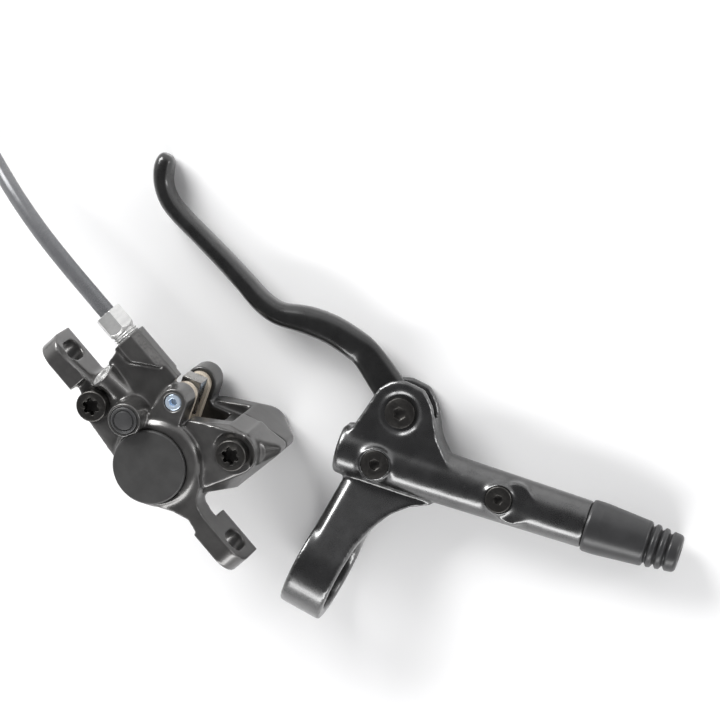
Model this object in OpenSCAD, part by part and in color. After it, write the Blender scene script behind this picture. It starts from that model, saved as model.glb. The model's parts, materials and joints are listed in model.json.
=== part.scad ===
// Hydraulic disc brake for a bicycle: two piece post mount caliper with its pads,
// pistons and hose, and the handlebar lever with its master cylinder. Millimetres.
// The flat back of the caliper lies on the bench at Z = 0, X runs along the two
// mounting ears, Y along the post bolts and Z is square to the brake rotor.

/* [Caliper mounting] */
// Distance between the two slots of the post mount
post_spacing = 74; // [72:0.5:76]
// Width of each mounting slot, for an M6 bolt
slot_w = 6.5; // [6.2:0.1:7]
// Length of each mounting slot, across the rotor
slot_len = 10.1; // [9:0.1:11]
// Thickness of an ear along its bolt
ear_t = 6; // [5:0.25:7]
// Width of an ear across the rotor
ear_w = 15.6; // [15:0.1:16.5]
// Distance from a slot's centre to the outer end of its ear
ear_end = 6.6; // [6:0.1:8]
// Height of the slots' centres above the rotor plane
slot_lift = 10.8; // [10:0.1:11.5]
// Distance of the bolt head side of the ears from the slot line
ear_face = 11.2; // [10.8:0.1:11.6]

/* [Caliper body] */
// Height of the rotor plane above the flat back of the caliper
rotor_z = 20; // [19.5:0.1:20.5]
// Radius of the rotor that the caliper reaches over
rotor_r = 80; // [79.5:0.1:80.5]
// Distance from the rotor's centre to the pistons
track_r = 70.7; // [70.2:0.1:71.2]
// Width of the slot that the rotor runs in
rotor_slot_w = 4.6; // [4:0.1:5]
// Distance of the pistons' axis to the right of the middle of the ears
piston_x = 4.3; // [4:0.1:4.6]
// Distance of the pistons' axis from the slot line
piston_y = 9.2; // [9:0.1:9.4]
// Turn of the pads' radial direction from the post bolts' direction
pad_angle = 28.5; // [28:0.1:29]
// Height of the front of the housing round the bore cap
shoulder_z = 39.6; // [39.2:0.1:40]
// Radius of the piston boss
boss_r = 13.6; // [13.4:0.1:13.8]
// Rounding of the piston boss's front edge
boss_round = 3; // [2:0.25:3.5]
// Height of the seats under the body bolts' heads
bolt_seat_z = 36; // [35.6:0.1:36.2]
// Radius of the round lugs at the body bolts
lug_r = 5.6; // [5.4:0.1:5.8]

/* [Fluid parts] */
// Radius of a piston
piston_r = 10.5; // [10.3:0.1:10.7]
// Length of a piston
piston_len = 8; // [7.6:0.1:8.1]
// Radius of the bore cap
cap_r = 11.25; // [11.1:0.05:11.4]
// Thickness of the bore cap
cap_t = 4; // [3.6:0.1:4.1]
// Height that the bore cap stands proud of the shoulder
cap_proud = 1.2; // [0.8:0.1:1.5]
// Radius of the bleed boss
bleed_boss_r = 5.1; // [5:0.05:5.3]
// Height of the bleed boss
bleed_boss_z = 43.6; // [43:0.1:44]
// Radius of the bleed cap
bleed_cap_r = 4.1; // [3.9:0.05:4.2]
// Radius of the hose connection's thread in the caliper
port_r = 4; // [3.9:0.05:4.1]
// Width of the hose nut across its flats
nut_flats = 8; // [7.8:0.1:8.4]
// Length of the hose nut's hexagon
nut_len = 7.4; // [7:0.1:8]
// Outer diameter of the brake hose
hose_d = 5; // [4.9:0.05:5.1]

/* [Pads] */
// Width of a brake pad along the rotor
pad_w = 24; // [23.5:0.25:24.5]
// Height of a brake pad across the rotor's rim
pad_h = 21; // [20:0.25:21.5]
// Thickness of a backing plate
plate_t = 3; // [2.8:0.1:3.1]
// Thickness of a new friction lining
lining_t = 2.7; // [2.5:0.1:2.8]
// Gap between the two linings with the pistons pushed back
pad_gap = 5; // [4.9:0.1:5.2]
// Radius of the pad pin's shaft
pad_pin_r = 1.75; // [1.6:0.05:1.9]
// Distance from the pistons' axis to the pad pin
pin_reach = 20.6; // [20.4:0.1:20.8]

/* [Fasteners] */
// Radius of a body bolt's head
bolt_head_r = 4.7; // [4.5:0.1:4.9]
// Height of a body bolt's head
bolt_head_h = 4; // [3.6:0.1:4.2]
// Radius of a body bolt's shank
bolt_r = 2.9; // [2.7:0.05:3]

/* [Lever] */
// Diameter of the handlebar that the clamp fits
bar_d = 22.2; // [22:0.1:22.6]
// Width of the clamp along the handlebar
clamp_w = 13.4; // [12.5:0.1:14]
// Wall of the clamp ring
clamp_wall = 3.9; // [3.7:0.1:4]
// Radius of the master cylinder body at its pivot end
body_r1 = 8.3; // [8.1:0.1:8.5]
// Radius of the master cylinder body at its hose end
body_r2 = 7.2; // [7:0.1:7.4]
// Length of the master cylinder body
body_len = 77.6; // [77:0.2:79]
// Angle between the master cylinder and the handlebar
body_angle = 10.9; // [10.7:0.1:11.1]
// Radius of the master cylinder's bore
master_r = 5; // [4.8:0.1:5.1]
// Length of the master piston
master_len = 17; // [16:0.25:18]
// Distance from the lever pivot down to the master cylinder's axis
pivot_reach = 15.7; // [15.6:0.1:15.9]
// Radius of the pivot pin
pivot_r = 3; // [2.8:0.1:3.2]
// Thickness of each clevis plate beside the blade
clevis_t = 3.2; // [3:0.1:3.3]
// Thickness of the blade between the clevis plates
knuckle_t = 6; // [5.8:0.1:6.1]
// Length of the rubber boot
boot_len = 28.4; // [28:0.1:29]
// Radius of the rubber boot at its middle
boot_r = 7.9; // [7.8:0.05:8]
// Radius of the rubber boot's ribs at its free end
boot_end_r = 6.35; // [6.2:0.05:6.4]
// Radial play of pins and pistons in their bores
fit = 0.05; // [0.03:0.01:0.08]
// Gap between parts that do not touch
gap = 0.3; // [0.25:0.05:0.35]

/* [Hidden] */
$fn = 64;
soft = 32;        // sides of the rounded blends
cut = 0.1;        // overshoot of a cutting tool
far = 60;         // reach of a cut that leaves the body

// Caliper: heights of the stack across the rotor, outboard side
lining_z = rotor_z + pad_gap / 2;
plate_z = lining_z + lining_t;
piston_z = plate_z + plate_t;
pocket_half = pad_gap / 2 + lining_t + plate_t + gap;
cap_top = shoulder_z + cap_proud;
cap_z = cap_top - cap_t;
bore_top = piston_z + piston_len + 2 * gap;
ear_z0 = rotor_z + slot_lift - ear_w / 2;
ear_seat = ear_face - ear_t;
ear_x = post_spacing / 2;
// Shoulder ring is set off towards the bridge, so the cap comes close to the rim outside
boss_x = piston_x + 0.7;
boss_y = piston_y + 1.8;
pocket_w = pad_w + 2 * gap;
bolt_left = [-22.5, 10.3];
bolt_right = [21.9, 13.1];
tab_r = 3.7;
ear_in = 9.1;
neck_z = 30;
seat_rim = 1.6;
rim_r = lug_r + 1.4;
groove_t = 3.4;
front_lug_r = 4.2;
pin_head_r = 2.6;
pin_head_z = shoulder_z - 2.6;
rear_nose_z = 3.2;
clip_z = 1.85;
bleed_x = -10.8;
bleed_y = 14.3;
gallery_z = 29.5;
gallery_r = 4.5;
gallery_tilt = 18;
gallery_len = 15.6;
plug_r = 3.7;
plug_t = 2.4;
drill_r = 1.2;
floor_z = 33.2;
port_y = 26.8;
port_z = 30;
port_x = -29;
port_depth = 6.6;
nut_x = port_x - 2;
nut_spigot = port_depth - 2.4;
hose_r = hose_d / 2;

// Lever: place of the handlebar axis when the unit lies on the bench, resting on its
// clamp ring, the tip of its blade and the end of its boot
bar_x = 60.3;
bar_y = 20.7;
bar_tilt = 7.72;
bar_roll = 0.2;
bar_turn = 22.3;
bar_r = bar_d / 2;
ring_r = bar_r + clamp_wall;
bar_z = ring_r + 0.03;
clamp_bolt_y = 20;
clamp_bolt_r = 2.5;
clamp_head_r = 4.25;
lug_z = -11;
split_z = -4;
body_x = -12.1;
body_y = 35;
pivot_s = 15.5;
clevis_in = knuckle_t / 2 + gap;
clevis_out = clevis_in + clevis_t;
master_s0 = 12;
piston_s = pivot_s + 3.1;
spring_s = piston_s + master_len;
tube_s = body_len - 27.6;
bladder_s = body_len - 24.6;
chamber_s = body_len - 11.6;
port_s = body_len - 9.1;
bleed_s = 51;
bleed_off = 0.4;
lens_s = 55.4;
lens_r = 6.4;
reach_at = [0.7, 36.5];
reach_boss_r = 5.2;
arm_reach = 30;
arm_end_r = 2.5;
arm_lean = asin((ring_r - arm_end_r) / arm_reach);
pivot_dish_r = 6.3;
pivot_dish_t = 0.9;
pivot_x = body_x + pivot_s * cos(body_angle) - pivot_reach * sin(body_angle);
pivot_y = body_y + pivot_s * sin(body_angle) + pivot_reach * cos(body_angle);

// Hose: from the caliper along -X, down to the bench and into a tied coil
hose_route = [[-19.8, 26.8, 30], [-30, 26.8, 30], [-44, 26.8, 30], [-58, 26.8, 29.8],
    [-70, 26.8, 28.6], [-82, 26.8, 25.6], [-94, 26.8, 20.8], [-106, 26.8, 15],
    [-118, 26.8, 9.6], [-130, 26.8, 5.4], [-142, 26.8, 3.6], [-155, 26.8, 3.3]];
hose_tail = [[-155, -42.4, 8.3], [-147, -42.4, 7.6], [-139, -42.4, 5.6],
    [-131, -42.4, 4.4], [-123, -42.4, 4], [-115, -42.4, 4]];
coil_x = -155;
coil_y = -7.8;
coil_mid_r = 29.6;
coil_rows = 3;
tie_t = 0.8;
tie_w = 8;

// Frames of the sub-assemblies

// Pad frame: x along the rotor, y outwards from the rotor's centre, at the pistons' axis
module at_pads() {
    translate([piston_x, piston_y, 0]) rotate([0, 0, pad_angle]) children();
}

// Handlebar frame: x along the bar, y towards the blade, z up from the bench
module at_bar() {
    translate([bar_x, bar_y, bar_z]) rotate([0, 0, bar_turn]) rotate([0, bar_roll, 0])
        rotate([-bar_tilt, 0, 0]) children();
}

// Cylinder frame: x along the master cylinder from its pivot end, y towards the blade
module at_cylinder() {
    at_bar() translate([body_x, body_y, 0]) rotate([0, 0, body_angle]) children();
}

// Turned piece on the master cylinder's axis, starting at station s
module along_x(s) {
    translate([s, 0, 0]) rotate([0, 90, 0]) children();
}

module pivot_place() {
    at_bar() translate([pivot_x, pivot_y, 0]) children();
}

// Ring with a rectangular section
module ring(r_out, r_in, h) {
    difference() {
        cylinder(h = h, r = r_out);
        translate([0, 0, -cut]) cylinder(h = h + 2 * cut, r = r_in);
    }
}

// Turned post with a rounded top edge
module round_post(r, z0, z1, edge) {
    rotate_extrude() union() {
        translate([0, z0]) square([r, z1 - z0 - edge]);
        translate([0, z1 - edge - cut]) square([r - edge, edge + cut]);
        intersection() {
            translate([r - edge, z1 - edge]) circle(r = edge);
            translate([0, z1 - edge - cut]) square([r, edge + cut]);
        }
    }
}

// Star-lobed socket, cut downwards from z = 0
module star_socket(r, depth) {
    lobes = 6;
    translate([0, 0, -depth]) {
        cylinder(h = depth + cut, r = r * 0.72);
        for (i = [0 : lobes - 1]) rotate([0, 0, i * 360 / lobes])
            translate([r * 0.74, 0, 0]) cylinder(h = depth + cut, r = r * 0.26);
    }
}

// Plan of one ear, seen along the post bolt: rounded outboard, squarer towards the rotor
module ear_plan(side) {
    round_out = 6;
    x1 = side * (ear_x + ear_end);
    difference() {
        union() {
            translate([side > 0 ? ear_x - ear_in : -ear_x - ear_end, ear_z0])
                square([ear_end + ear_in, ear_w - round_out]);
            translate([side > 0 ? ear_x - ear_in : -ear_x - ear_end + round_out, ear_z0])
                square([ear_end + ear_in - round_out, ear_w]);
            translate([x1 - side * round_out, ear_z0 + ear_w - round_out])
                circle(r = round_out);
        }
        for (s = [-1, 1]) translate([side * ear_x, rotor_z + slot_lift
            + s * (slot_len - slot_w) / 2]) circle(r = slot_w / 2);
        translate([side * ear_x - slot_w / 2, rotor_z + slot_lift - (slot_len - slot_w) / 2])
            square([slot_w, slot_len - slot_w]);
    }
}

module ear(side) {
    translate([0, ear_face, 0]) rotate([90, 0, 0]) linear_extrude(ear_t) ear_plan(side);
}

// Places of the body bolts, in the pad frame
module at_bolts() {
    for (p = [bolt_left, bolt_right]) at_pads() translate([p[0], p[1], 0]) children();
}

module at_pin() {
    at_pads() translate([0, pin_reach, 0]) children();
}

// Pocket for the two pads, open towards the rotor's centre and at the top
module pad_pocket() {
    z0 = rotor_z - pocket_half;
    at_pads() {
        translate([-pocket_w / 2, -far, z0]) cube([pocket_w, far + 14.4, 2 * pocket_half]);
        translate([-4.6, 0, z0]) cube([4.6 + pocket_w / 2, far, 2 * pocket_half]);
        translate([5.5, 15.4, z0 - 1.5]) cube([11.5, far, 2 * pocket_half + 3]);
        translate([0, -track_r, rotor_z - rotor_slot_w / 2])
            cylinder(h = rotor_slot_w, r = rotor_r + 1, $fn = 128);
    }
}

// Frame of the fluid gallery: z runs from its plugged end down to the bleed boss
module at_gallery() {
    translate([bleed_x, bleed_y, gallery_z]) rotate([0, 90 + gallery_tilt, 0])
        translate([0, 0, -gallery_len]) children();
}

// Eight-sided hose boss, cut off by a slanting wall that ends in a point
module hose_boss() {
    half = port_r + 0.9;
    flat = 2.4;
    wall_turn = 41.8;
    difference() {
        translate([port_x, port_y, port_z]) rotate([90, 0, 90]) linear_extrude(18.6)
            polygon([[-half, -flat], [-flat, -half], [flat, -half], [half, -flat],
                     [half, flat], [flat, half], [-flat, half], [-half, flat]]);
        translate([port_x + 4.7, port_y - 4.2, floor_z]) rotate([0, 0, wall_turn])
            translate([-far / 2, -far, 0]) cube([far, far, far]);
    }
}

// Wing over the right body bolt: flat round the bolt, with a bright bevel along the pad
// window, a rim behind the bolt and a facet that falls away to the outer corner
module wing(split) {
    difference() {
        union() {
            hull() {
                at_pads() translate([bolt_right[0], bolt_right[1], split])
                    cylinder(h = bolt_seat_z - split, r = lug_r + 1, $fn = soft);
                at_pads() translate([6.6, 15.4, split])
                    cylinder(h = bolt_seat_z - split, r = 1.6, $fn = soft);
                at_pads() translate([17.6, 18.2, split])
                    cylinder(h = bolt_seat_z + 1 - split, r = 1.8, $fn = soft);
                translate([24.2, 37.4, split]) cylinder(h = 6, r = 2, $fn = soft);
                translate([24, 22, split]) cylinder(h = 9, r = 1.6, $fn = soft);
                translate([12, 12, split]) cylinder(h = 15, r = 6, $fn = soft);
            }
            at_pads() translate([bolt_right[0], bolt_right[1], split]) intersection() {
                cylinder(h = bolt_seat_z + seat_rim - split, r = rim_r);
                linear_extrude(far) polygon([[0, 0], [far, -0.3 * far], [far, far], [0.2 * far, far]]);
            }
        }
        at_pads() translate([bolt_right[0], bolt_right[1], bolt_seat_z])
            cylinder(h = far, r = lug_r + 0.6);
        // Bevel along the window
        at_pads() translate([4, 17.2, bolt_seat_z]) rotate([0, 0, 6]) rotate([-42, 0, 0])
            translate([0, -0.2, 0]) cube([24, far, far]);
        // Groove between the rim and the outer facet
        at_pads() translate([bolt_right[0], bolt_right[1], bolt_seat_z - groove_t]) intersection() {
            ring(rim_r + 1.2, rim_r, far);
            linear_extrude(far) polygon([[0, 0], [far, -0.1 * far], [far, 0.9 * far]]);
        }
    }
}

module outboard_form() {
    split = rotor_z;
    translate([boss_x, boss_y, 0]) round_post(boss_r, split, shoulder_z, boss_round);
    wing(split);
    // Web and lug at the left body bolt
    hull() {
        at_pads() translate([bolt_left[0], bolt_left[1], split])
            cylinder(h = bolt_seat_z + 0.4 - split, r = bolt_head_r + gap, $fn = soft);
        translate([-9, 8, split]) cylinder(h = 12, r = 6, $fn = soft);
        translate([0, 8, split]) cylinder(h = 14, r = 8.5, $fn = soft);
    }
    // Nose that holds the head of the pad pin
    hull() {
        at_pin() translate([0, 0, rotor_z + pocket_half])
            cylinder(h = shoulder_z - 1.6 - rotor_z - pocket_half, r = front_lug_r, $fn = soft);
        translate([-1.6, 17, rotor_z + pocket_half]) cylinder(h = 9, r = 5.4, $fn = soft);
    }
    // Oil gallery rib and bleed boss
    at_gallery() cylinder(h = gallery_len, r = gallery_r);
    translate([bleed_x, bleed_y, split]) cylinder(h = bleed_boss_z - split, r = bleed_boss_r);
    hose_boss();
    // Floor between the hose boss, the gallery and the nose, with a small sunk panel
    difference() {
        translate([0, 0, 24]) linear_extrude(floor_z - 24)
            polygon([[-28.4, 24.6], [-27, 29.6], [-11, 29.6], [-6, 27], [-3.4, 21], [0, 14],
                     [-22, 12], [-27.2, 18]]);
        translate([-16.6, 22.4, floor_z - 0.8]) cube([3.2, 2.6, 2]);
    }
    translate([0, 0, split]) linear_extrude(9)
        polygon([[-25, 7], [-20, 18], [-13, 20.6], [-6, 12]]);
    // Ears, each on a slender neck
    ear(1);
    ear(-1);
    translate([0, 0, neck_z]) linear_extrude(ear_z0 + ear_w - neck_z)
        polygon([[11, 0.5], [14, 1.6], [18.9, 5], [23.6, 7], [ear_x - 6, ear_seat + 0.5],
                 [ear_x - 4, ear_seat], [ear_x - 4, ear_face], [26, ear_face],
                 [22.4, ear_face + 0.8], [20.6, 13.4], [18.6, 16.6], [15.6, 18.9], [11, 18]]);
    translate([0, 0, split]) linear_extrude(neck_z - split + 2)
        polygon([[11, 0], [16, 4], [21.4, 10.4], [20.8, 19], [12, 20]]);
    translate([0, 0, ear_z0]) linear_extrude(ear_w - 2.4)
        polygon([[-ear_x + 4, ear_seat], [-27.4, ear_seat + 1.4], [-22, 5], [-18, 6],
                 [-20, 15], [-25, 15.4], [-27.6, ear_face], [-ear_x + 4, ear_face]]);
}

module outboard_housing() {
    color([0.29, 0.29, 0.28]) difference() {
        outboard_form();
        pad_pocket();
        translate([piston_x, piston_y, rotor_z]) cylinder(h = bore_top - rotor_z,
            r = piston_r + fit);
        translate([piston_x, piston_y, bore_top - cut])
            cylinder(h = cap_z - bore_top + 2 * cut, r = piston_r - 1);
        translate([piston_x, piston_y, cap_z]) cylinder(h = far, r = cap_r + fit);
        at_bolts() translate([0, 0, rotor_z - cut]) cylinder(h = far, r = bolt_r + fit);
        at_bolts() translate([0, 0, bolt_seat_z]) cylinder(h = far, r = bolt_head_r + 2 * gap);
        at_pin() {
            translate([0, 0, rotor_z]) cylinder(h = far, r = pad_pin_r + fit);
            translate([0, 0, pin_head_z - 2]) cylinder(h = far, r = pin_head_r + fit);
        }
        translate([bleed_x, bleed_y, bleed_boss_z - 9]) cylinder(h = far, r = 2.4);
        translate([bleed_x, bleed_y, bleed_boss_z - 2.2]) cylinder(h = far, r = bleed_cap_r);
        translate([bleed_x, bleed_y, gallery_z]) cylinder(h = 7, r = drill_r);
        // Drillings that carry the fluid
        at_gallery() translate([0, 0, 0.4]) cylinder(h = gallery_len, r = drill_r);
        at_gallery() translate([0, 0, -far]) cylinder(h = far + plug_t, r = plug_r);
        translate([port_x - cut, port_y, port_z]) rotate([0, 90, 0])
            cylinder(h = port_depth + cut, r = port_r);
        translate([port_x, port_y, port_z]) rotate([0, 90, 0])
            cylinder(h = port_depth + 3, r = hose_r + fit);
        translate([port_x, port_y, port_z]) rotate([0, 90, 0])
            cylinder(h = port_depth + 6, r = drill_r);
        translate([port_x + port_depth + 5, bleed_y, port_z + 0.4]) rotate([-90, 0, 0])
            cylinder(h = port_y - bleed_y + 1, r = drill_r);
    }
}

module inboard_form() {
    top = rotor_z;
    translate([piston_x, piston_y, 0]) mirror([0, 0, 1]) round_post(boss_r - 0.6, -top, 0, 1.2);
    // Wing behind the right body bolt, drawn in towards its back
    hull() {
        at_pads() translate([bolt_right[0], bolt_right[1], 0])
            cylinder(h = top, r = lug_r, $fn = soft);
        translate([24.2, 37.4, top - 8]) cylinder(h = 8, r = 2, $fn = soft);
        translate([24, 22, 6]) cylinder(h = top - 6, r = 1.6, $fn = soft);
        translate([12, 12, 0]) cylinder(h = top, r = 6, $fn = soft);
        at_pads() translate([6.6, 15.6, 4]) cylinder(h = top - 4, r = 1.4, $fn = soft);
        at_pads() translate([18, 18, 6]) cylinder(h = top - 6, r = 1.8, $fn = soft);
    }
    hull() {
        at_pads() translate([bolt_left[0], bolt_left[1], 0])
            cylinder(h = top, r = lug_r - 0.2, $fn = soft);
        translate([-6, 8, 0]) cylinder(h = top - 3, r = 6, $fn = soft);
    }
    // Nose that holds the far end of the pad pin
    hull() {
        at_pin() translate([0, 0, rear_nose_z])
            cylinder(h = rotor_z - pocket_half - rear_nose_z, r = front_lug_r + 0.6, $fn = soft);
        translate([-1.6, 17, 1]) cylinder(h = rotor_z - pocket_half - 1, r = 6, $fn = soft);
    }
}

module inboard_housing() {
    color([0.27, 0.27, 0.26]) difference() {
        inboard_form();
        pad_pocket();
        translate([piston_x, piston_y, 2 * rotor_z - bore_top])
            cylinder(h = bore_top - rotor_z, r = piston_r + fit);
        at_bolts() translate([0, 0, 5]) cylinder(h = far, r = bolt_r + fit);
        at_pin() translate([0, 0, -cut]) cylinder(h = far, r = pad_pin_r + fit);
        at_pin() translate([0, 0, -cut]) cylinder(h = rear_nose_z, r = pad_pin_r + 1.6);
        at_pads() translate([bolt_left[0] + 5.6, bolt_left[1] + 1, rotor_z - 1])
            cylinder(h = 2, r = 2.2);
    }
}

module bore_cap() {
    color([0.21, 0.21, 0.2]) translate([piston_x, piston_y, cap_z]) difference() {
        round_post(cap_r, 0, cap_t, 0.6);
        translate([0, 0, -cut]) cylinder(h = 1.6, r = piston_r - 1);
    }
}

module bleed_cap() {
    color([0.16, 0.16, 0.16]) translate([bleed_x, bleed_y, bleed_boss_z - 2.2]) {
        difference() {
            round_post(bleed_cap_r - fit, 0, 2.6, 0.5);
            translate([0, 0, -cut]) cylinder(h = 1.7 + cut, r = 2.9);
            translate([0, 0, 2.2]) ring(3.3, 2.8, 1);
        }
    }
}

module bleed_nipple() {
    color([0.62, 0.62, 0.6]) translate([bleed_x, bleed_y, bleed_boss_z - 7.6]) difference() {
        union() {
            cylinder(h = 5.2, r = 2.4 - fit);
            translate([0, 0, 5.4 + 0.1]) cylinder(h = 0.9, r = 2.6);
            translate([0, 0, 4]) cylinder(h = 2, r = 2);
        }
        translate([0, 0, -cut]) cylinder(h = 4, r = 0.8);
    }
}

// Two bolts that clamp the halves together, with star-lobed sockets
module body_bolts() {
    color([0.17, 0.17, 0.17]) at_bolts() difference() {
        union() {
            translate([0, 0, 5.6]) cylinder(h = bolt_seat_z - 5.6 + cut, r = bolt_r);
            translate([0, 0, bolt_seat_z]) round_post(bolt_head_r, 0, bolt_head_h, 0.5);
        }
        translate([0, 0, bolt_seat_z + bolt_head_h]) star_socket(2.7, 2.6);
    }
}

module passage_plug() {
    color([0.32, 0.32, 0.3]) at_gallery() difference() {
        cylinder(h = plug_t, r = plug_r - fit);
        translate([0, 0, -cut]) ring(plug_r - 0.7, plug_r - 1.2, 0.4);
        translate([0, 0, -cut]) cylinder(h = 1, r = plug_r - 1.9);
    }
}

// Rubber ring where the fluid crosses from one half to the other
module passage_seal() {
    color([0.1, 0.1, 0.1]) at_pads()
        translate([bolt_left[0] + 5.6, bolt_left[1] + 1, rotor_z - 1]) ring(2.1, 1.2, 1);
}

module hose_nut() {
    flats_r = nut_flats / 2 / cos(30);
    color([0.75, 0.76, 0.77]) translate([nut_x - nut_len, port_y, port_z]) rotate([0, 90, 0])
        difference() {
            union() {
                intersection() {
                    rotate([0, 0, 30]) cylinder(h = nut_len, r = flats_r, $fn = 6);
                    rotate_extrude() polygon([[0, 0], [flats_r - 0.5, 0], [flats_r, 0.8],
                        [flats_r, nut_len - 1.8], [flats_r - 1, nut_len], [0, nut_len]]);
                }
                translate([0, 0, nut_len - cut]) cylinder(h = 2 + nut_spigot + cut, r = port_r - fit);
            }
            translate([0, 0, -cut]) cylinder(h = far, r = hose_r + fit);
        }
}

module hose_olive() {
    color([0.8, 0.65, 0.3]) translate([port_x + nut_spigot, port_y, port_z]) rotate([0, 90, 0])
        difference() {
            rotate_extrude() polygon([[0, 0], [3.2, 0], [port_r - 0.4, 1.2], [3.2, 2.4], [0, 2.4]]);
            translate([0, 0, -cut]) cylinder(h = far, r = hose_r + fit);
        }
}

// Cup-shaped piston, open towards the fluid
module piston() {
    difference() {
        round_post(piston_r, 0, piston_len, 0.5);
        translate([0, 0, 3]) cylinder(h = piston_len, r = piston_r - 2);
        translate([0, 0, -cut]) cylinder(h = 0.6, r = piston_r - 4);
    }
}

module outboard_piston() {
    color([0.85, 0.84, 0.8]) translate([piston_x, piston_y, piston_z]) piston();
}

module inboard_piston() {
    color([0.85, 0.84, 0.8]) translate([piston_x, piston_y, 2 * rotor_z - piston_z])
        mirror([0, 0, 1]) piston();
}

// Square rings behind the pistons, at the bottom of each bore's wall
module piston_seals() {
    seal_h = gap;
    color([0.12, 0.12, 0.12]) translate([piston_x, piston_y, 0]) {
        translate([0, 0, bore_top - seal_h]) ring(piston_r, piston_r - 1.6, seal_h - fit);
        translate([0, 0, 2 * rotor_z - bore_top + fit]) ring(piston_r, piston_r - 1.6, seal_h - fit);
    }
}

// Plan of a backing plate, with the tab that hangs on the pad pin
module plate_plan() {
    corner = 3;
    difference() {
        union() {
            translate([-pad_w / 2, -pad_h / 2 + corner]) square([pad_w, pad_h - 2 * corner]);
            translate([-pad_w / 2 + corner, -pad_h / 2]) square([pad_w - 2 * corner, pad_h]);
            for (x = [-1, 1], y = [-1, 1])
                translate([x * (pad_w / 2 - corner), y * (pad_h / 2 - corner)]) circle(r = corner);
            translate([-tab_r, 0]) square([2 * tab_r, pin_reach]);
            translate([0, pin_reach]) circle(r = tab_r);
        }
        translate([0, pin_reach]) circle(r = pad_pin_r + 0.3);
    }
}

module pad_plate(z) {
    at_pads() translate([0, 0, z]) linear_extrude(plate_t) plate_plan();
}

module pad_lining(z) {
    edge = 1.5;
    at_pads() translate([0, 0, z]) linear_extrude(lining_t)
        polygon([[-pad_w / 2 + edge, -pad_h / 2 + 4], [-pad_w / 2 + 5, -pad_h / 2 + edge],
                 [pad_w / 2 - 5, -pad_h / 2 + edge], [pad_w / 2 - edge, -pad_h / 2 + 4],
                 [pad_w / 2 - edge, pad_h / 2 - 3], [pad_w / 2 - 4, pad_h / 2 - edge],
                 [-pad_w / 2 + 4, pad_h / 2 - edge], [-pad_w / 2 + edge, pad_h / 2 - 3]]);
}

module outboard_pad_plate() {
    color([0.66, 0.58, 0.48]) pad_plate(plate_z);
}

module outboard_pad_lining() {
    color([0.24, 0.22, 0.2]) pad_lining(lining_z);
}

module inboard_pad_plate() {
    color([0.66, 0.58, 0.48]) pad_plate(2 * rotor_z - plate_z - plate_t);
}

module inboard_pad_lining() {
    color([0.24, 0.22, 0.2]) pad_lining(2 * rotor_z - lining_z - lining_t);
}

// Folded strip between the tabs that pushes the pads apart: a saddle over the pin
module pad_spring() {
    t = 0.4;
    leg = pad_gap / 2 + lining_t - 1.6 - gap;
    color([0.8, 0.81, 0.82]) at_pads() translate([0, 0, rotor_z]) difference() {
        union() {
            for (s = [-1, 1]) translate([-3, 12.4, s > 0 ? leg - t : -leg])
                cube([6, pin_reach - 12.4 + 4, t]);
            translate([-3, pin_reach + 4 - t, -leg]) cube([6, t, 2 * leg]);
        }
        translate([0, pin_reach, -far]) cylinder(h = 2 * far, r = pad_pin_r + 0.2);
    }
}

module pad_pin() {
    color([0.8, 0.83, 0.86]) at_pin() difference() {
        union() {
            translate([0, 0, clip_z - 1]) cylinder(h = pin_head_z - clip_z, r = pad_pin_r);
            translate([0, 0, pin_head_z - 2]) round_post(pin_head_r, 0, 2.6, 0.6);
        }
        translate([0, 0, pin_head_z + 0.6 - 1.8]) cylinder(h = far, r = 1.3, $fn = 6);
        translate([0, 0, clip_z - fit]) ring(3, pad_pin_r - 0.4, 0.7);
    }
}

// Spring clip in the groove at the pin's far end, behind the rear nose
module pad_pin_clip() {
    color([0.7, 0.7, 0.7]) at_pin() translate([0, 0, clip_z]) difference() {
        ring(pad_pin_r + 0.9, pad_pin_r - 0.35, 0.6);
        translate([0, -0.7, -cut]) cube([4, 1.4, 1]);
    }
}

// Round tube swept along a route: one ring of points at each route point
function heading(p, i) = let(n = len(p) - 1, d = p[min(i + 1, n)] - p[max(i - 1, 0)]) d / norm(d);
function side_of(d) = let(s = cross(d, [0, 0, 1])) s / norm(s);
function ring_at(p, i, r, sides) = let(d = heading(p, i), s = side_of(d), u = cross(s, d))
    [for (k = [0 : sides - 1]) p[i] + r * (cos(k * 360 / sides) * s + sin(k * 360 / sides) * u)];

module tube(route, r, sides) {
    n = len(route);
    points = [for (i = [0 : n - 1]) each ring_at(route, i, r, sides)];
    walls = [for (i = [0 : n - 2], k = [0 : sides - 1]) let(a = i * sides, b = a + sides,
        m = (k + 1) % sides) each [[a + k, a + m, b + m], [a + k, b + m, b + k]]];
    first = [for (k = [sides - 1 : -1 : 0]) k];
    last = [for (k = [0 : sides - 1]) (n - 1) * sides + k];
    polyhedron(points = points, faces = concat([first], walls, [last]));
}

module brake_hose() {
    color([0.3, 0.31, 0.33]) {
        tube(hose_route, hose_r, 12);
        tube(hose_tail, hose_r, 12);
    }
}

module hose_coil() {
    half = coil_rows * hose_d / 2;
    color([0.3, 0.31, 0.33]) translate([coil_x, coil_y, tie_t]) rotate_extrude() union() {
        translate([coil_mid_r - half + hose_r, 0]) square([2 * half - hose_d, 2 * hose_d]);
        translate([coil_mid_r - half, hose_r]) square([2 * half, hose_d]);
        for (s = [-1, 1], z = [hose_r, 3 * hose_r])
            translate([coil_mid_r + s * (half - hose_r), z]) circle(r = hose_r);
    }
}

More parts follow.
